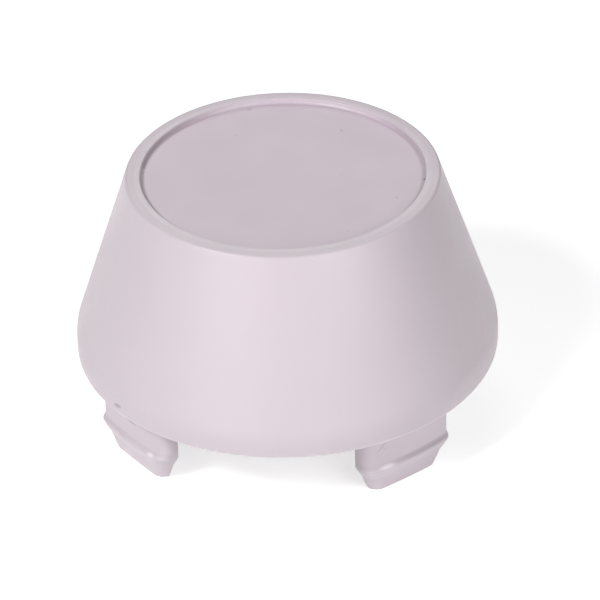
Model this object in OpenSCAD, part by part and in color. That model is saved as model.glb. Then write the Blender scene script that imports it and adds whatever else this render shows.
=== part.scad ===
// Snap-in wheel center cap: one hollow conical moulding with a short straight lip, a raised rim
// round a shallow round recess, and snap legs below the lip. Millimetres, +Z up. The origin is
// the centre of the plane that the leg tips stand on.

/* [Cap body] */
// Outer diameter of the straight lip
base_d = 72; // [66:0.5:80]
// Outer diameter where the cone meets the top plane
top_d = 52.6; // [50:0.2:58]
// Height of the body from the seating face to the rim
cap_h = 33.1; // [28:0.1:40]
// Height at which the lip and the cone would meet without their blend
lip_h = 3.7; // [2.5:0.1:6]
// Wall thickness of the cone and the lip
wall = 2.5; // [2.3:0.1:3.2]
// Thickness of the top under the recess
top_wall = 2.4; // [1.6:0.1:4]

/* [Edges of the body] */
// Radius that blends the lip into the cone
shoulder_r = 7.5; // [1:0.5:10]
// Radius of the outer edge of the rim
rim_r = 0.6; // [0.3:0.05:1.5]
// Radius of the outer edge at the foot of the lip
foot_r = 0.5; // [0.2:0.05:0.8]
// Radius inside, where the cone meets the top
inside_r = 2; // [0.5:0.5:4]

/* [Emblem recess] */
// Diameter of the recess
recess_d = 47.8; // [40:0.1:48.6]
// Depth of the recess below the rim
recess_depth = 0.9; // [0.7:0.1:1.5]
// Radius of the recess edge at the rim
recess_r = 0.1; // [0.05:0.05:0.3]
// Radius of the cove at the foot of the recess wall, kept clear of the edge above it
cove_r = 0.6; // [0.2:0.05:0.7]

/* [Snap legs] */
// Number of legs
leg_count = 4; // [3:1:6]
// Distance from the outside of the lip to the outer face of a leg
leg_setback = 2.3; // [1.4:0.1:2.4]
// Width of a leg below the lip
leg_w = 18.2; // [15:0.2:20]
// Depth of a leg from its outer face to its open back
leg_depth = 3.6; // [3.2:0.1:5.5]
// Thickness of a leg's side walls
leg_wall = 1.6; // [1.2:0.1:1.9]
// Radius of a leg's upright outer corners
leg_corner_r = 2.2; // [1.5:0.1:2.6]
// Radius to which a leg's face is bowed across its width
face_bow_r = 48; // [34:1:90]
// Length of a leg below the seating face
leg_drop = 11.8; // [10.5:0.1:16]
// Height above the seating face that a leg's side walls reach inside the cone
leg_root_h = 9; // [5:0.5:12]

/* [Barb and lead-in] */
// Distance from the seating face down to the crest of the barb
barb_drop = 6.7; // [5.5:0.1:7.5]
// Height of the barb's sloping shoulder above its crest
barb_shoulder_h = 1; // [0.8:0.1:2]
// How far the crest stands out from the face of the leg
barb_out = 0.6; // [0.4:0.1:1]
// How far the barb runs round a leg's corners before it fades
barb_wrap = 1.5; // [1.1:0.1:2]
// Width of a leg at its tip
tip_w = 13.8; // [12:0.2:16]
// How far the face draws back from the leg's face to the tip
tip_draw = 1.2; // [0.8:0.1:2.4]
// Height of the steep bevel right below the crest
bevel_h = 2; // [1:0.1:3]
// How far the steep bevel draws the face back behind the crest
bevel_draw = 1.1; // [0.5:0.1:1.6]
// How far the steep bevel draws in each side of a leg
bevel_side = 0.2; // [0:0.05:0.6]
// Thickness of a leg at its tip
tip_t = 1.7; // [1:0.1:2]
// Thickness of the closed foot below the open back of a leg
tip_floor = 2.6; // [2:0.1:4]

/* [Hidden] */

base_r = base_d / 2;
top_r = top_d / 2;
floor_z = cap_h - recess_depth;
ceiling_z = floor_z - top_wall;
// Lean of the cone from the upright, in degrees
cone_lean = atan((base_r - top_r) / (cap_h - lip_h));
// The wall measured level, as the cone's section shows it
wall_level = wall / cos(cone_lean);
leg_face_r = base_r - leg_setback;
leg_back_r = leg_face_r - leg_depth;
barb_drop_top = barb_drop - barb_shoulder_h;
tip_face_r = leg_face_r - tip_draw;
tip_back_r = tip_face_r - tip_t;
// The cove's radius, kept clear of the edge radius above it
cove_share = 0.95;
cove_fit_r = min(cove_r, (recess_depth - recess_r) * cove_share);
arc_steps = 8;
corner_steps = 6;
face_steps = 16;
turn_steps = 180;
// Bow of the nearly straight edge at a leg's tip
tip_bow_r = 150;
// Radius that eases the crest of the barb
crest_round = 0.35;
// Shares of the barb's height just above its crest and at the top of its shoulder
crest_share = 0.9;
shoulder_share = 0.15;
// Least straight stretch between a leg's back and its corner arcs
back_edge = 0.3;
// How much thicker a leg's front wall is than its side walls
front_extra = 0.2;
// Corner radii of the hollow behind a leg, at its foot and above the crest
pocket_foot_r = 0.5;
pocket_r = 0.8;
// Share of the tip's draw that the foot of the hollow follows
pocket_draw = 0.6;
// Length by which a cutting shape runs past what it cuts
past = 1;

// Outer radius of the cone at height z above the seating face
function cone_r(z) = base_r - (z - lip_h) * tan(cone_lean);

// Points of the arc of radius r that rounds the corner p between the points a and b
function rounded(a, p, b, r, steps = arc_steps) =
    let (u = (a - p) / norm(a - p), v = (b - p) / norm(b - p))
    let (half = acos(u * v) / 2, side = (u + v) / norm(u + v))
    let (centre = p + side * r / sin(half))
    let (from = p + u * r / tan(half) - centre, to = p + v * r / tan(half) - centre)
    let (a0 = atan2(from[1], from[0]), turn = atan2(to[1], to[0]) - a0)
    let (sweep = turn > 180 ? turn - 360 : turn < -180 ? turn + 360 : turn)
    [for (i = [0:steps]) centre + r * [cos(a0 + sweep * i / steps), sin(a0 + sweep * i / steps)]];

// Radial section of the body, seating face at height 0
function body_section() =
    let (lip_out = [base_r, 0], shoulder = [base_r, lip_h], rim = [top_r, cap_h])
    let (edge = [recess_d / 2, cap_h], floor_edge = [recess_d / 2, floor_z])
    let (ceiling_edge = [cone_r(ceiling_z) - wall_level, ceiling_z])
    let (inner_lip_r = base_r - wall)
    let (inner_lip_h = lip_h - (wall_level - wall) / tan(cone_lean))
    concat(
        [[inner_lip_r, 0]],
        rounded([inner_lip_r, 0], lip_out, shoulder, foot_r),
        rounded(lip_out, shoulder, rim, shoulder_r),
        rounded(shoulder, rim, edge, rim_r),
        rounded(rim, edge, floor_edge, recess_r),
        rounded(edge, floor_edge, [0, floor_z], cove_fit_r),
        [[0, floor_z], [0, ceiling_z]],
        rounded([0, ceiling_z], ceiling_edge, [inner_lip_r, inner_lip_h], inside_r),
        [[inner_lip_r, inner_lip_h]]
    );

module body_shell() {
    rotate_extrude($fn = turn_steps)
        polygon(body_section());
}

// Plan outline of a leg that points along +X: a bowed face, two rounded outer corners and a flat
// back. The bow has radius bow_r, and barb lifts the face and fades round its corners.
// Where the leg is thinner than its corners are round, the back cuts the corner arcs short.
function leg_outline(face, bow_r, half_w, corner_r, back, barb) =
    let (reach_y = half_w - corner_r)
    let (reach_x = sqrt(pow(bow_r - corner_r, 2) - pow(reach_y, 2)))
    let (bow_x = face - bow_r, corner = [bow_x + reach_x, reach_y])
    let (start_x = max(corner[0], back + back_edge))
    let (a_start = acos((start_x - corner[0]) / corner_r), a_end = atan2(reach_y, reach_x))
    let (back_y = reach_y + corner_r * sin(a_start) + (start_x - back) / tan(a_start))
    let (upper = [for (i = [0:corner_steps])
        let (a = a_start + (a_end - a_start) * i / corner_steps)
        corner + corner_r * [cos(a), sin(a)] + [barb * barb_share(a), 0]])
    let (bow = [for (i = [1:face_steps - 1])
        let (a = a_end * (1 - 2 * i / face_steps))
        [bow_x + bow_r * cos(a) + barb, bow_r * sin(a)]])
    let (lower = [for (i = [corner_steps:-1:0]) [upper[i][0], -upper[i][1]]])
    concat([[back, back_y]], upper, bow, lower, [[back, -back_y]]);

// Share of the barb's height where the outline faces the angle a: 1 in front, 0 at the sides
function barb_share(a) = min(1, barb_wrap * cos(a));

// Solid through a stack of outlines of equal point count, from the lowest to the highest
module loft(outlines, heights) {
    n = len(outlines[0]);
    rings = len(outlines);
    points = [for (k = [0:rings - 1]) for (p = outlines[k]) [p[0], p[1], heights[k]]];
    sides = [for (k = [0:rings - 2]) for (i = [0:n - 1])
        let (j = (i + 1) % n)
        each [[k * n + i, (k + 1) * n + j, (k + 1) * n + i], [k * n + i, k * n + j, (k + 1) * n + j]]];
    bottom = [[for (i = [n - 1:-1:0]) i]];
    top = [[for (i = [0:n - 1]) (rings - 1) * n + i]];
    polyhedron(points, concat(bottom, sides, top));
}

// Share of the way from the barb's crest down to the tip, at height z
function tip_share(z) = max(0, (-barb_drop - z) / (leg_drop - barb_drop));
// Half width and back radius of a leg at height z: both close in below the crest
function leg_half_w(z) = (leg_w - (leg_w - tip_w) * tip_share(z)) / 2;
function leg_back(z) = leg_back_r + (tip_back_r - leg_back_r) * tip_share(z);

// Stations of a leg from the tip up. Each is height, face radius, bow radius, barb height and
// the extra draw of each side.
function leg_stations() = [
    [-leg_drop, tip_face_r, tip_bow_r, 0, 0],
    [-barb_drop - bevel_h, leg_face_r + barb_out - bevel_draw, 2 * face_bow_r, 0, bevel_side],
    [-barb_drop - crest_round, leg_face_r, face_bow_r, barb_out - crest_round / 2, 0],
    [-barb_drop, leg_face_r, face_bow_r, barb_out, 0],
    [-barb_drop + crest_round, leg_face_r, face_bow_r, barb_out * crest_share, 0],
    [-barb_drop_top - barb_shoulder_h / 3, leg_face_r, face_bow_r, barb_out * shoulder_share, 0],
    [-barb_drop_top, leg_face_r, face_bow_r, 0, 0],
    [leg_root_h, leg_face_r, face_bow_r, 0, 0]
];

// A leg that points along +X, before it is trimmed to the cone's wall
module leg_block() {
    stations = leg_stations();
    loft([for (s = stations)
            leg_outline(s[1], s[2], leg_half_w(s[0]) - s[4], leg_corner_r, leg_back(s[0]), s[3])],
        [for (s = stations) s[0]]);
}

// The hollow behind a leg's front wall, open towards the axis
module leg_pocket() {
    face_r = leg_face_r - leg_wall;
    bow_r = face_bow_r - leg_wall;
    foot_face_r = face_r - tip_draw * pocket_draw;
    open_back = leg_back_r - past;
    foot = leg_outline(foot_face_r, bow_r, tip_w / 2 - leg_wall, pocket_foot_r, open_back, 0);
    upper = leg_outline(face_r - front_extra, bow_r, leg_w / 2 - leg_wall, pocket_r, open_back, 0);
    loft([foot, upper, upper], [tip_floor - leg_drop, -barb_drop, leg_root_h + past]);
}

// The space that the legs may fill: free below the seating face, inside the wall above it
module leg_limit() {
    rotate_extrude($fn = turn_steps)
        polygon([[0, -leg_drop - past], [base_r, -leg_drop - past], [base_r, 0],
            [base_r - wall / 2, 0], [base_r - wall / 2, lip_h],
            [cone_r(leg_root_h) - wall_level / 2, leg_root_h], [0, leg_root_h]]);
}

module legs() {
    for (i = [0:leg_count - 1])
        rotate([0, 0, (i + 0.5) * 360 / leg_count])
            difference() {
                leg_block();
                leg_pocket();
            }
}

module center_cap() {
    color("#d2c6cc")
    translate([0, 0, leg_drop]) {
        body_shell();
        intersection() {
            legs();
            leg_limit();
        }
    }
}

center_cap();
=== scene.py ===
"""Looks of a snap-in wheel center cap: one hollow conical ABS moulding with a painted finish."""

import math

import bmesh
import bpy
from mathutils import Matrix, Vector


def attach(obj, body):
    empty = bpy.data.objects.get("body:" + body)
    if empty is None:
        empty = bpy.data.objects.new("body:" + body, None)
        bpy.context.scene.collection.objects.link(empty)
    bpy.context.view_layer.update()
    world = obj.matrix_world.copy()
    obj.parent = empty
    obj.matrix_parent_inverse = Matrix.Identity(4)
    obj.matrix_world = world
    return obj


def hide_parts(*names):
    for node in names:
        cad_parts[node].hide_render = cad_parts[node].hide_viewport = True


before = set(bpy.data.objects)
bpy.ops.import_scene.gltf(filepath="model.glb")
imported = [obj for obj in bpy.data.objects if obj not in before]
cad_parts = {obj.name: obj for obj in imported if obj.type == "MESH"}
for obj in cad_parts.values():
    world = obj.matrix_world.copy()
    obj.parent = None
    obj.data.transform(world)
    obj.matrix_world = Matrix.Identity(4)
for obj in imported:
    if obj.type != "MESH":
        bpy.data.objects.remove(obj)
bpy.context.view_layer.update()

MM = 0.001

# Sizes in millimetres, the same as the solids have. Heights are measured from the seating face
# of the lip, which lies LEG_DROP above the part's origin.
BASE_R = 36.0
TOP_R = 26.3
CAP_H = 33.1
LIP_H = 3.7
WALL = 2.5
TOP_WALL = 2.4
SHOULDER_R = 7.5
RIM_R = 0.6
FOOT_R = 0.5
INSIDE_R = 2.0
# The flat of the rim falls this much towards its outer edge
RIM_FALL = 0.12
RECESS_R = 23.9
RECESS_DEPTH = 0.9
RECESS_EDGE_R = 0.1
COVE_R = 0.6

LEG_COUNT = 4
LEG_FACE_R = 33.7
LEG_BACK_R = 30.1
LEG_W = 18.2
LEG_WALL = 1.6
LEG_FRONT_EXTRA = 0.2
LEG_CORNER_R = 2.2
FACE_BOW_R = 48.0
LEG_DROP = 11.8
LEG_ROOT_H = 9.0
BARB_DROP = 6.7
BARB_SHOULDER_H = 1.0
BARB_OUT = 0.6
BARB_WRAP = 1.5
BEVEL_H = 2.0
BEVEL_DRAW = 1.1
BEVEL_SIDE = 0.2
TIP_W = 13.8
TIP_DRAW = 1.2
TIP_T = 1.7
TIP_FLOOR = 2.6
TIP_BOW_R = 150.0
CREST_ROUND = 0.35
CREST_SHARE = 0.9
SHOULDER_SHARE = 0.15
BACK_EDGE = 0.3
POCKET_FOOT_R = 0.5
POCKET_R = 0.8
POCKET_DRAW = 0.6
PAST = 1.0

FLOOR_Z = CAP_H - RECESS_DEPTH
CEILING_Z = FLOOR_Z - TOP_WALL
# The same heights above the part's origin, as the materials read them
FLOOR_UP = LEG_DROP + FLOOR_Z
RIM_UP = LEG_DROP + CAP_H
CREST_UP = LEG_DROP - BARB_DROP
CONE_LEAN = math.atan((BASE_R - TOP_R) / (CAP_H - LIP_H))
WALL_LEVEL = WALL / math.cos(CONE_LEAN)
TIP_FACE_R = LEG_FACE_R - TIP_DRAW
TIP_BACK_R = TIP_FACE_R - TIP_T

# Steps of the finer mesh
TURN_STEPS = 256
ARC_STEPS = 14
RECESS_EDGE_STEPS = 6
COVE_STEPS = 10
CORNER_STEPS = 12
FACE_STEPS = 28

# Levels of a leg's loft: a rounded tip, coarse steps up to the bevel and fine ones over the barb
TIP_ROUND = 0.3
TIP_STEPS = 4
COARSE_STEP = 0.9
FINE_STEP = 0.1
FINE_PAST = 0.4
EASE_REACH = 0.14
EASE_COUNT = 5

# Vertices nearer than this become one, in metres, first in a plain mesh and then in the whole cap
MERGE_MESH = 1e-7
MERGE_CAP = 2e-6
SHARP_ANGLE = math.radians(32)


def cone_r(z):
    """Radius of the cone's outer face at height z."""
    return BASE_R - (z - LIP_H) * math.tan(CONE_LEAN)


def rounded(a, p, b, r, steps=ARC_STEPS):
    """Points of the arc of radius r that rounds the corner p between the points a and b."""
    a, p, b = Vector(a), Vector(p), Vector(b)
    u, v = (a - p).normalized(), (b - p).normalized()
    half = math.acos(max(-1, min(1, u.dot(v)))) / 2
    centre = p + (u + v).normalized() * r / math.sin(half)
    start = p + u * r / math.tan(half) - centre
    end = p + v * r / math.tan(half) - centre
    a0 = math.atan2(start.y, start.x)
    sweep = math.atan2(end.y, end.x) - a0
    sweep = (sweep + math.pi) % (2 * math.pi) - math.pi
    points = []
    for i in range(steps + 1):
        t = a0 + sweep * i / steps
        points.append((centre.x + r * math.cos(t), centre.y + r * math.sin(t)))
    return points


def body_section():
    """Radial section of the body as (radius, height), from inside the lip round to the ceiling."""
    lip_out, shoulder, rim = (BASE_R, 0), (BASE_R, LIP_H), (TOP_R, CAP_H - RIM_FALL)
    edge, floor_edge = (RECESS_R, CAP_H), (RECESS_R, FLOOR_Z)
    ceiling_edge = (cone_r(CEILING_Z) - WALL_LEVEL, CEILING_Z)
    inner_lip_r = BASE_R - WALL
    inner_lip = (inner_lip_r, LIP_H - (WALL_LEVEL - WALL) / math.tan(CONE_LEAN))
    section = [(inner_lip_r, 0)]
    section += rounded((inner_lip_r, 0), lip_out, shoulder, FOOT_R)
    section += rounded(lip_out, shoulder, rim, SHOULDER_R)
    section += rounded(shoulder, rim, edge, RIM_R)
    section += rounded(rim, edge, floor_edge, RECESS_EDGE_R, RECESS_EDGE_STEPS)
    section += rounded(edge, floor_edge, (0, FLOOR_Z), COVE_R, COVE_STEPS)
    section += [(0, FLOOR_Z), (0, CEILING_Z)]
    section += rounded((0, CEILING_Z), ceiling_edge, inner_lip, INSIDE_R)
    section += [inner_lip]
    return section


def barb_share(a):
    """Share of the barb's height where the outline faces the angle a: 1 in front, 0 beside."""
    return min(1, BARB_WRAP * math.cos(a))


def leg_outline(face, bow_r, half_w, corner_r, back, barb):
    """Level section of a leg on +X: flat back, rounded front corners and a bowed face."""
    reach_y = half_w - corner_r
    reach_x = math.sqrt((bow_r - corner_r) ** 2 - reach_y**2)
    bow_x = face - bow_r
    corner = (bow_x + reach_x, reach_y)
    start_x = max(corner[0], back + BACK_EDGE)
    a_start = math.acos(min(1, (start_x - corner[0]) / corner_r))
    a_end = math.atan2(reach_y, reach_x)
    back_y = reach_y + corner_r * math.sin(a_start) + (start_x - back) / math.tan(a_start)
    upper = []
    for i in range(CORNER_STEPS + 1):
        a = a_start + (a_end - a_start) * i / CORNER_STEPS
        lift = barb * barb_share(a)
        upper.append((corner[0] + corner_r * math.cos(a) + lift,
                      corner[1] + corner_r * math.sin(a)))
    bow = []
    for i in range(1, FACE_STEPS):
        a = a_end * (1 - 2 * i / FACE_STEPS)
        bow.append((bow_x + bow_r * math.cos(a) + barb, bow_r * math.sin(a)))
    lower = [(x, -y) for x, y in reversed(upper)]
    return [(back, back_y)] + upper + bow + lower + [(back, -back_y)]


def tip_share(z):
    """0 at the barb's crest and above it, 1 at the tip."""
    return max(0, (-BARB_DROP - z) / (LEG_DROP - BARB_DROP))


def leg_half_w(z):
    """Half a leg's width at height z."""
    return (LEG_W - (LEG_W - TIP_W) * tip_share(z)) / 2


def leg_back(z):
    """Radius of a leg's back at height z."""
    return LEG_BACK_R + (TIP_BACK_R - LEG_BACK_R) * tip_share(z)


# Stations of a leg from the tip up: height, face radius, bow radius, barb height and the extra
# draw of each side
STATIONS = [
    (-LEG_DROP, TIP_FACE_R, TIP_BOW_R, 0, 0),
    (-BARB_DROP - BEVEL_H, LEG_FACE_R + BARB_OUT - BEVEL_DRAW, 2 * FACE_BOW_R, 0, BEVEL_SIDE),
    (-BARB_DROP - CREST_ROUND, LEG_FACE_R, FACE_BOW_R, BARB_OUT - CREST_ROUND / 2, 0),
    (-BARB_DROP, LEG_FACE_R, FACE_BOW_R, BARB_OUT, 0),
    (-BARB_DROP + CREST_ROUND, LEG_FACE_R, FACE_BOW_R, BARB_OUT * CREST_SHARE, 0),
    (-BARB_DROP + BARB_SHOULDER_H * 2 / 3, LEG_FACE_R, FACE_BOW_R, BARB_OUT * SHOULDER_SHARE, 0),
    (-BARB_DROP + BARB_SHOULDER_H, LEG_FACE_R, FACE_BOW_R, 0, 0),
    (LEG_ROOT_H, LEG_FACE_R, FACE_BOW_R, 0, 0),
]


def lathe(section, steps=TURN_STEPS):
    """Closed solid of revolution about Z. A point on the axis becomes one vertex."""
    bm = bmesh.new()
    rings = []
    for r, z in section:
        if r == 0:
            rings.append([bm.verts.new((0, 0, z * MM))])
            continue
        ring = []
        for k in range(steps):
            a = 2 * math.pi * k / steps
            ring.append(bm.verts.new((r * MM * math.cos(a), r * MM * math.sin(a), z * MM)))
        rings.append(ring)
    for i, low in enumerate(rings):
        high = rings[(i + 1) % len(rings)]
        if len(low) == 1 and len(high) == 1:
            continue
        for k in range(steps):
            j = (k + 1) % steps
            if len(high) == 1:
                bm.faces.new((low[k], low[j], high[0]))
            elif len(low) == 1:
                bm.faces.new((low[0], high[j], high[k]))
            else:
                bm.faces.new((low[k], low[j], high[j], high[k]))
    return bm


def loft(bm, outlines, heights):
    """Adds the closed solid through a stack of outlines of equal point count, lowest first."""
    rings = []
    for outline, z in zip(outlines, heights):
        rings.append([bm.verts.new((x * MM, y * MM, z * MM)) for x, y in outline])
    count = len(rings[0])
    for low, high in zip(rings, rings[1:]):
        for i in range(count):
            j = (i + 1) % count
            bm.faces.new((low[i], high[i], high[j], low[j]))
    bm.faces.new(rings[0])
    bm.faces.new(list(reversed(rings[-1])))


def mesh_object(bm, name):
    """An object from the bmesh, with its faces outward. The bmesh is freed."""
    bmesh.ops.remove_doubles(bm, verts=bm.verts, dist=MERGE_MESH)
    bmesh.ops.recalc_face_normals(bm, faces=bm.faces)
    mesh = bpy.data.meshes.new(name)
    bm.to_mesh(mesh)
    bm.free()
    piece = bpy.data.objects.new(name, mesh)
    bpy.context.scene.collection.objects.link(piece)
    return piece


def boolean(target, tool, operation):
    """Replaces the target's mesh with the result of the operation, and deletes the tool."""
    modifier = target.modifiers.new("solid", "BOOLEAN")
    modifier.operation = operation
    modifier.solver = "EXACT"
    modifier.object = tool
    graph = bpy.context.evaluated_depsgraph_get()
    mesh = bpy.data.meshes.new_from_object(target.evaluated_get(graph))
    target.modifiers.remove(modifier)
    target.data = mesh
    bpy.data.objects.remove(tool)


def at_height(z):
    """Face radius, bow radius, barb height and draw of the sides of a leg at height z."""
    for low, high in zip(STATIONS, STATIONS[1:]):
        if z <= high[0]:
            t = (z - low[0]) / (high[0] - low[0])
            return [a + (b - a) * t for a, b in zip(low[1:], high[1:])]
    return STATIONS[-1][1:]


def eased(z):
    """The face at height z averaged over a short reach, which rounds each level edge."""
    total = [0, 0, 0, 0]
    for k in range(EASE_COUNT):
        at = z + EASE_REACH * (k - 2) / 2
        at = min(LEG_ROOT_H, max(-LEG_DROP, at))
        total = [a + b for a, b in zip(total, at_height(at))]
    return [a / EASE_COUNT for a in total]


def leg_levels():
    """Heights of a leg's sections above the rounded tip."""
    fine_from = -BARB_DROP - BEVEL_H - FINE_PAST
    levels = [-LEG_DROP + TIP_ROUND]
    z = -LEG_DROP + COARSE_STEP
    while z < fine_from - FINE_STEP:
        levels.append(z)
        z += COARSE_STEP
    z = fine_from
    while z < -BARB_DROP + BARB_SHOULDER_H + FINE_PAST:
        levels.append(z)
        z += FINE_STEP
    return levels + [0, LEG_ROOT_H]


def leg():
    """A solid leg on +X from its tip to its root, before its pocket is cut."""
    bm = bmesh.new()
    outlines, heights = [], []
    for k in range(TIP_STEPS):
        a = math.pi / 2 * k / TIP_STEPS
        inset = TIP_ROUND * (1 - math.sin(a))
        z = -LEG_DROP + TIP_ROUND * (1 - math.cos(a))
        face, bow_r, barb, side = eased(z)
        outlines.append(leg_outline(face - inset, bow_r - inset, leg_half_w(z) - side - inset,
                                    LEG_CORNER_R - inset, leg_back(z) + inset, barb))
        heights.append(z)
    for z in leg_levels():
        face, bow_r, barb, side = eased(z)
        outlines.append(leg_outline(face, bow_r, leg_half_w(z) - side, LEG_CORNER_R, leg_back(z),
                                    barb))
        heights.append(z)
    loft(bm, outlines, heights)
    return mesh_object(bm, "leg_block")


def leg_pocket():
    """What is cut from a leg's back, which leaves its face and its two sides as thin walls."""
    bm = bmesh.new()
    face, bow_r, back = LEG_FACE_R - LEG_WALL, FACE_BOW_R - LEG_WALL, LEG_BACK_R - PAST
    foot = leg_outline(face - TIP_DRAW * POCKET_DRAW, bow_r, TIP_W / 2 - LEG_WALL,
                       POCKET_FOOT_R, back, 0)
    upper = leg_outline(face - LEG_FRONT_EXTRA, bow_r, LEG_W / 2 - LEG_WALL, POCKET_R, back, 0)
    loft(bm, [foot, upper, upper], [TIP_FLOOR - LEG_DROP, -BARB_DROP, LEG_ROOT_H + PAST])
    return mesh_object(bm, "leg_pocket")


def leg_limit():
    """The room a leg may fill: below the lip, and up inside the cone to mid wall."""
    mid = BASE_R - WALL / 2
    section = [(0, -LEG_DROP - PAST), (BASE_R, -LEG_DROP - PAST), (BASE_R, 0), (mid, 0),
               (mid, LIP_H), (cone_r(LEG_ROOT_H) - WALL_LEVEL / 2, LEG_ROOT_H), (0, LEG_ROOT_H)]
    return mesh_object(lathe(section), "leg_limit")


def turned_copy(piece, angle):
    """A copy of the piece whose mesh is turned about Z."""
    twin = bpy.data.objects.new(piece.name, piece.data.copy())
    twin.data.transform(Matrix.Rotation(angle, 4, "Z"))
    bpy.context.scene.collection.objects.link(twin)
    return twin


def center_cap():
    """The whole cap as one closed mesh in the part's frame."""
    cap = mesh_object(lathe(body_section()), "center_cap_moulding")
    one = leg()
    boolean(one, leg_pocket(), "DIFFERENCE")
    boolean(one, leg_limit(), "INTERSECT")
    for k in range(LEG_COUNT):
        boolean(cap, turned_copy(one, (k + 0.5) * 2 * math.pi / LEG_COUNT), "UNION")
    bpy.data.objects.remove(one)
    cap.data.transform(Matrix.Translation((0, 0, LEG_DROP * MM)))
    bm = bmesh.new()
    bm.from_mesh(cap.data)
    bmesh.ops.remove_doubles(bm, verts=bm.verts, dist=MERGE_CAP)
    for face in bm.faces:
        face.smooth = True
    for edge in bm.edges:
        edge.smooth = len(edge.link_faces) == 2 and edge.calc_face_angle(0) < SHARP_ANGLE
    bm.to_mesh(cap.data)
    bm.free()
    return cap


# Stage and lights in metres and watts. The key is small, so that the recess's edge and the lip
# throw the narrow shadows of the photo. Each row: name, bearing from +X and elevation in degrees,
# size, power
FLOOR_HALF = 3
FLOOR_GAP = 0.00005
FLOOR_GLOW = 0.65
LIGHT_AIM_Z = 0.025
LIGHT_DISTANCE = 0.7
LIGHTS = [
    ("key_light", -132, 45, 0.18, 2.72),
    ("low_left_light", -116, 12, 0.4, 0.8),
    ("right_light", -44, 26, 0.5, 2.4),
    ("rear_light", 98.6, 40, 0.4, 0.78),
]

# The camera as fitted: lens in mm, distance from the axis and height in metres, its bearing from
# -Y, and its heading, pitch and roll, in degrees
CAMERA_LENS = 228
CAMERA_REACH = 0.54007
CAMERA_Z = 0.37637
CAMERA_BEARING = 8.64
CAMERA_TURN = (8.4, 33.488, -1.611)

# Strength of the shade painted in the recess corner, round the turn from -X through -Y, +X and +Y
# back to -X
CORNER_SHADE_BY_TURN = ((0.0, 0.16), (0.08, 0.35), (0.14, 0.5), (0.22, 0.3), (0.45, 0.45), (0.54, 0.26),
                 (0.6, 0.28), (0.67, 0.08), (0.84, 0.12), (0.91, 0.42), (0.96, 0.4))

# Dark colour of dust and scuffs, also used for the shade painted in the barbs' creases and under
# the lip
DIRT_AND_SHADE = "#5a4850"

# A mark fades from full strength at MARK_CORE of its half size to none at MARK_END of it
MARK_CORE = 0.35
MARK_END = 1.15

# Small marks: centre in mm from the part's origin, half sizes outward, across and up in mm,
# bearing of the outward direction and tilt in degrees, strength
# Dust specks on the recess floor and cone, a smudge on the lip and scuffs on a leg, with two rows
# of painted shade marked below
DARK_MARKS = [
    ((-9.61, 12.18, 44.0), (0.3, 0.25, 0.3), 0, 0, 0.14),
    ((7.95, 15.46, 44.0), (0.3, 0.45, 0.3), 30, 0, 0.24),
    ((9.7, 1.15, 44.0), (0.25, 0.3, 0.3), 0, 0, 0.1),
    ((19.61, -5.03, 44.0), (0.35, 0.35, 0.3), 0, 0, 0.2),
    ((12.87, -16.01, 44.0), (0.3, 0.3, 0.3), 0, 0, 0.14),
    ((-8.64, 20.95, 44.0), (0.25, 0.6, 0.3), 112, 0, 0.3),
    ((23.72, 0.95, 44.15), (0.35, 0.38, 0.5), 2, 0, 0.95),
    ((27.84, 2.22, 39.97), (0.4, 0.5, 0.25), 5, 0, 0.3),
    ((-25.1, -25.8, 13.5), (0.8, 1.25, 0.45), -134, 12, 0.42),
    # Painted shade under the lip, on the top of the leg toward -X -Y
    ((-23.3, -24.7, 9.25), (1.2, 1.3, 0.24), -135, 0, 0.3),
    ((19.3, -27.9, 9.4), (0.9, 1.6, 0.17), -45, 40, 0.22),
    ((19.6, -27.6, 9.3), (0.9, 0.9, 0.13), -45, -38, 0.12),
    # Painted shade in the crease over the barb of the leg toward +X -Y
    ((26.2, -21.3, 5.75), (1.2, 7.5, 0.55), -45, 0, 0.1),
]
# Painted highlights laid as pale patches: glints at the barbs' ends on all four legs, and on the
# foot of the lip and the tops of the legs toward -Y
HIGHLIGHT_MARKS = [
    ((20.4, -28.0, 5.6), (0.9, 2.2, 0.6), -45, 0, 0.9),
    ((-19.7, -28.4, 5.45), (0.9, 0.9, 0.5), -135, 0, 0.6),
    ((20.1, 28.3, 5.45), (0.9, 0.9, 0.45), 45, 0, 0.45),
    ((-20.6, 27.8, 5.45), (0.9, 1.2, 0.4), 135, 0, 0.4),
    ((-24.6, -26.3, 12.1), (0.8, 1.8, 0.4), -133, 0, 0.6),
    ((-25.7, -22.0, 9.4), (1.0, 1.8, 0.4), -135, 0, 0.4),
    ((20.7, -29.4, 12.15), (0.6, 4.6, 0.35), -55, 0, 0.4),
]


def linear(code):
    """The linear colour of an sRGB hex code."""
    values = []
    for i in (1, 3, 5):
        c = int(code[i:i + 2], 16) / 255
        values.append(c / 12.92 if c <= 0.04045 else ((c + 0.055) / 1.055) ** 2.4)
    return (*values, 1)


def add_node(tree, kind, inputs=None, **settings):
    """A node of this kind. inputs gives a value or another node's socket for some of its own."""
    node = tree.nodes.new(kind)
    for name, value in settings.items():
        setattr(node, name, value)
    for name, value in (inputs or {}).items():
        if isinstance(value, bpy.types.NodeSocket):
            tree.links.new(value, node.inputs[name])
        else:
            node.inputs[name].default_value = value
    return node


def new_material(name):
    material = bpy.data.materials.new(name)
    material.use_nodes = True
    material.node_tree.nodes.clear()
    return material, material.node_tree


def smooth_range(tree, value, low, high):
    """0 where value is at low or past it, 1 at high or past it, and a smooth step between."""
    return add_node(tree, "ShaderNodeMapRange", {0: value, 1: low, 2: high},
                    interpolation_type="SMOOTHSTEP").outputs[0]


def product(tree, a, b):
    return add_node(tree, "ShaderNodeMath", {0: a, 1: b}, operation="MULTIPLY").outputs[0]


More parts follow.
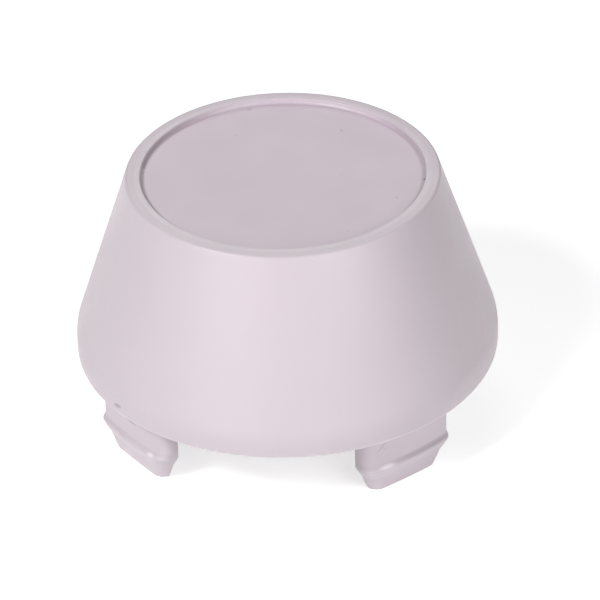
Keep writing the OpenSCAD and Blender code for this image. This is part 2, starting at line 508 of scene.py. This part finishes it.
def noise(tree, where, scale, detail):
    """A noise between 0 and 1 with about scale lumps in each unit of where."""
    return add_node(tree, "ShaderNodeTexNoise",
                    {"Vector": where, "Scale": scale, "Detail": detail}).outputs[0]


def larger(tree, a, b):
    return add_node(tree, "ShaderNodeMath", {0: a, 1: b}, operation="MAXIMUM").outputs[0]


def band(tree, value, low, high, soft):
    """1 where value lies between low and high, fading to 0 over soft on either side."""
    return product(tree, smooth_range(tree, value, low - soft, low),
                   smooth_range(tree, value, high + soft, high))


def blended(tree, share, below, above):
    """The colour below, with the colour above laid over it by the share."""
    return add_node(tree, "ShaderNodeMix", {0: share, 6: below, 7: above},
                    data_type="RGBA").outputs[2]


def radius_and_height(tree, where):
    """Distance from the part's axis and height above its origin, in metres."""
    x, y, z = add_node(tree, "ShaderNodeSeparateXYZ", {0: where}).outputs
    flat = add_node(tree, "ShaderNodeCombineXYZ", {0: x, 1: y}).outputs[0]
    length = add_node(tree, "ShaderNodeVectorMath", {0: flat}, operation="LENGTH")
    return length.outputs["Value"], z


def turn_share(tree, where):
    """0 to 1 round the part's axis, from -X through -Y, +X and +Y back to -X."""
    x, y, _ = add_node(tree, "ShaderNodeSeparateXYZ", {0: where}).outputs
    bearing = add_node(tree, "ShaderNodeMath", {0: y, 1: x}, operation="ARCTAN2").outputs[0]
    return add_node(tree, "ShaderNodeMapRange", {0: bearing, 1: -math.pi, 2: math.pi}).outputs[0]


def recess_corner_shade(tree, where):
    """Painted shade in the corner of the recess floor, its strength round the turn from the table
    above: thin at the back.
    """
    radius, z = radius_and_height(tree, where)
    corner = band(tree, radius, (RECESS_R - 0.45) * MM, (RECESS_R + 0.3) * MM, 0.5 * MM)
    low = smooth_range(tree, z, (RIM_UP - 0.1) * MM, (FLOOR_UP + 0.3) * MM)
    ramp = add_node(tree, "ShaderNodeValToRGB", {0: turn_share(tree, where)})
    for i, (at, level) in enumerate(CORNER_SHADE_BY_TURN):
        stops = ramp.color_ramp.elements
        stop = stops[i] if i < 2 else stops.new(at)
        stop.position = at
        stop.color = (level, level, level, 1)
    return product(tree, product(tree, corner, low), ramp.outputs[0])


def marks(tree, where, table):
    """Share of the small marks of the table, each a soft-edged ellipsoid on the surface."""
    total = None
    for centre, size, bearing, tilt, strength in table:
        local = add_node(tree, "ShaderNodeMapping",
                         {"Vector": where, "Location": [c * MM for c in centre],
                          "Rotation": (math.radians(tilt), 0, math.radians(bearing)),
                          "Scale": [c * MM for c in size]}, vector_type="TEXTURE").outputs[0]
        far = add_node(tree, "ShaderNodeVectorMath", {0: local}, operation="LENGTH")
        one = product(tree, smooth_range(tree, far.outputs["Value"], MARK_END, MARK_CORE), strength)
        total = one if total is None else larger(tree, total, one)
    return total


def edge_highlights(tree, where):
    """Painted highlights on the foot of the lip, the barbs' crests and the recess edge, pale and
    patchy.
    """
    radius, z = radius_and_height(tree, where)
    foot = product(tree, band(tree, z, (LEG_DROP + 0.05) * MM, (LEG_DROP + 0.35) * MM, 0.25 * MM),
                   smooth_range(tree, radius, (BASE_R - 0.6) * MM, (BASE_R - 0.3) * MM))
    crest = product(tree, band(tree, z, (CREST_UP - 0.6) * MM, (CREST_UP - 0.35) * MM, 0.2 * MM),
                    smooth_range(tree, radius, (LEG_FACE_R + 0.1) * MM, (LEG_FACE_R + 0.4) * MM))
    recess = product(tree, band(tree, radius, (RECESS_R + 0.2) * MM, (RECESS_R + 0.9) * MM,
                                0.2 * MM),
                     smooth_range(tree, z, (RIM_UP - 0.2) * MM, (RIM_UP - 0.1) * MM))
    # The painted highlight is strongest on the foot of the lip
    lit_edges = larger(tree, foot, product(tree, larger(tree, crest, recess), 0.4))
    patchy = noise(tree, where, 220, 3)
    return product(tree, lit_edges, smooth_range(tree, patchy, 0.2, 0.55))


def crease_shade_and_dust(tree, where):
    """Painted shade, with a trace of dust, in the crease over each barb."""
    radius, z = radius_and_height(tree, where)
    return product(tree, band(tree, z, (CREST_UP + 0.5) * MM, (CREST_UP + 0.9) * MM, 0.3 * MM),
                   smooth_range(tree, radius, (LEG_FACE_R - 1.5) * MM, (LEG_FACE_R - 0.8) * MM))


def side_scuffs(tree, where):
    """Faint level streaks where hands held the cap: on its sides toward -X and +X."""
    x, _, z = add_node(tree, "ShaderNodeSeparateXYZ", {0: where}).outputs
    # About 60 streaks round the turn and 1.4 in each millimetre of height
    streak_at = add_node(tree, "ShaderNodeCombineXYZ",
                         {0: product(tree, turn_share(tree, where), 60),
                          1: product(tree, z, 1.4 / MM)}).outputs[0]
    streak = noise(tree, streak_at, 1, 2)
    out = add_node(tree, "ShaderNodeMath", {0: x}, operation="ABSOLUTE").outputs[0]
    return product(tree, smooth_range(tree, streak, 0.5, 0.75),
                   smooth_range(tree, out, 28 * MM, 32 * MM))


def recess_floor(tree, where):
    """1 on the floor of the recess and 0 elsewhere."""
    radius, z = radius_and_height(tree, where)
    return product(tree, band(tree, z, (FLOOR_UP - 0.1) * MM, (FLOOR_UP + 0.1) * MM, 0.3 * MM),
                   smooth_range(tree, radius, (RECESS_R + 0.1) * MM, (RECESS_R - 0.3) * MM))


def painted_abs():
    """Moulded ABS under a satin paint: pale pinkish grey, handled, with a little dirt, and with
    painted shade and painted highlights in its colour.
    """
    material, tree = new_material("painted_moulded_abs")
    where = add_node(tree, "ShaderNodeTexCoord").outputs["Object"]
    # Uneven spray: a broad, faint drift of the colour
    tint = blended(tree, noise(tree, where, 60, 2), linear("#d7cad3"), linear("#d9ced6"))
    # Then, each laid over the last: a pinker, slightly darker tint on the recess floor, painted
    # highlights on the edges, streaks of handling, painted shade in the barbs' creases, painted
    # highlights, dust and scuffs with two patches of painted shade, and painted shade in the recess
    # corner
    layers = [
        (recess_floor(tree, where), 0.45, "#d8c5d3"),
        (edge_highlights(tree, where), 0.6, "#f0e8ec"),
        (side_scuffs(tree, where), 0.1, "#efe8ec"),
        (crease_shade_and_dust(tree, where), 0.1, DIRT_AND_SHADE),
        (marks(tree, where, HIGHLIGHT_MARKS), 1, "#f6f0f3"),
        (marks(tree, where, DARK_MARKS), 1, DIRT_AND_SHADE),
        (recess_corner_shade(tree, where), 1, "#6e5a64"),
    ]
    for share, strength, colour in layers:
        tint = blended(tree, product(tree, share, strength), tint, linear(colour))
    # A sprayed satin film: the gloss is a little uneven, and the open faces have a fine orange
    # peel, which the low wall of the recess is too narrow to show
    rough = add_node(tree, "ShaderNodeMapRange", {0: noise(tree, where, 140, 3), 1: 0.3, 2: 0.7,
                                                  3: 0.32, 4: 0.42})
    radius, _ = radius_and_height(tree, where)
    wall = band(tree, radius, (RECESS_R - 0.7) * MM, (RECESS_R + 0.1) * MM, 0.3 * MM)
    open_face = add_node(tree, "ShaderNodeMath", {0: 1, 1: wall}, operation="SUBTRACT").outputs[0]
    peel = product(tree, noise(tree, where, 900, 1), open_face)
    bump = add_node(tree, "ShaderNodeBump", {"Height": peel, "Strength": 0.05,
                                             "Distance": 0.1 * MM})
    shader = add_node(tree, "ShaderNodeBsdfPrincipled",
                      {"Base Color": tint, "Normal": bump.outputs[0],
                       "Roughness": rough.outputs[0], "IOR": 1.5})
    add_node(tree, "ShaderNodeOutputMaterial", {"Surface": shader.outputs[0]})
    return material


cap = center_cap()
cap.data.materials.clear()
cap.data.materials.append(painted_abs())
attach(cap, "root")
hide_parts("center_cap")


def seen_directly(tree):
    """1 for what the camera sees straight, in a reflection or through glass, and 0 otherwise."""
    paths = add_node(tree, "ShaderNodeLightPath").outputs
    seen = larger(tree, paths["Is Camera Ray"], paths["Is Glossy Ray"])
    return larger(tree, seen, paths["Is Transmission Ray"])


def stage_floor():
    """A wide sheet of white paper that glows to white where it is seen, and keeps the shadow."""
    bm = bmesh.new()
    bmesh.ops.create_grid(bm, x_segments=1, y_segments=1, size=FLOOR_HALF)
    floor = mesh_object(bm, "floor")
    floor.location.z = -FLOOR_GAP
    material, tree = new_material("white_paper")
    paper = add_node(tree, "ShaderNodeBsdfDiffuse", {"Color": linear("#f2f2f2")})
    glow = add_node(tree, "ShaderNodeEmission",
                    {"Strength": product(tree, seen_directly(tree), FLOOR_GLOW)})
    both = add_node(tree, "ShaderNodeAddShader", {0: paper.outputs[0], 1: glow.outputs[0]})
    add_node(tree, "ShaderNodeOutputMaterial", {"Surface": both.outputs[0]})
    floor.data.materials.append(material)


def soft_light(name, bearing, elevation, size, power):
    """A square soft light aimed at the middle of the cap. bearing is from +X, in degrees."""
    data = bpy.data.lights.new(name, "AREA")
    data.size = size
    data.energy = power
    lamp = bpy.data.objects.new(name, data)
    bearing, elevation = math.radians(bearing), math.radians(elevation)
    away = Vector((math.cos(elevation) * math.cos(bearing),
                   math.cos(elevation) * math.sin(bearing), math.sin(elevation)))
    lamp.location = Vector((0, 0, LIGHT_AIM_Z)) + away * LIGHT_DISTANCE
    lamp.rotation_euler = away.to_track_quat("Z", "Y").to_euler()
    bpy.context.scene.collection.objects.link(lamp)


def world_light():
    """White where it is seen straight or in a reflection, and dark for all other light."""
    world = bpy.data.worlds.new("studio")
    bpy.context.scene.world = world
    world.use_nodes = True
    tree = world.node_tree
    tree.nodes.clear()
    level = add_node(tree, "ShaderNodeMapRange", {0: seen_directly(tree), 3: 0, 4: 1})
    sky = add_node(tree, "ShaderNodeBackground", {"Strength": level.outputs[0]})
    add_node(tree, "ShaderNodeOutputWorld", {"Surface": sky.outputs[0]})


def photo_camera():
    """The camera fitted to the photo."""
    data = bpy.data.cameras.new("photo_camera")
    camera = bpy.data.objects.new("photo_camera", data)
    data.sensor_width = 36
    data.lens = CAMERA_LENS
    data.clip_start = 0.01
    bearing = math.radians(CAMERA_BEARING)
    camera.location = (CAMERA_REACH * math.sin(bearing), -CAMERA_REACH * math.cos(bearing),
                       CAMERA_Z)
    heading, pitch, roll = (math.radians(angle) for angle in CAMERA_TURN)
    turn = (Matrix.Rotation(heading, 3, "Z") @ Matrix.Rotation(math.pi / 2 - pitch, 3, "X")
            @ Matrix.Rotation(roll, 3, "Z"))
    camera.rotation_euler = turn.to_euler()
    bpy.context.scene.collection.objects.link(camera)
    bpy.context.scene.camera = camera


stage_floor()
for light in LIGHTS:
    soft_light(*light)
world_light()
photo_camera()
bpy.context.scene.view_settings.view_transform = "Standard"
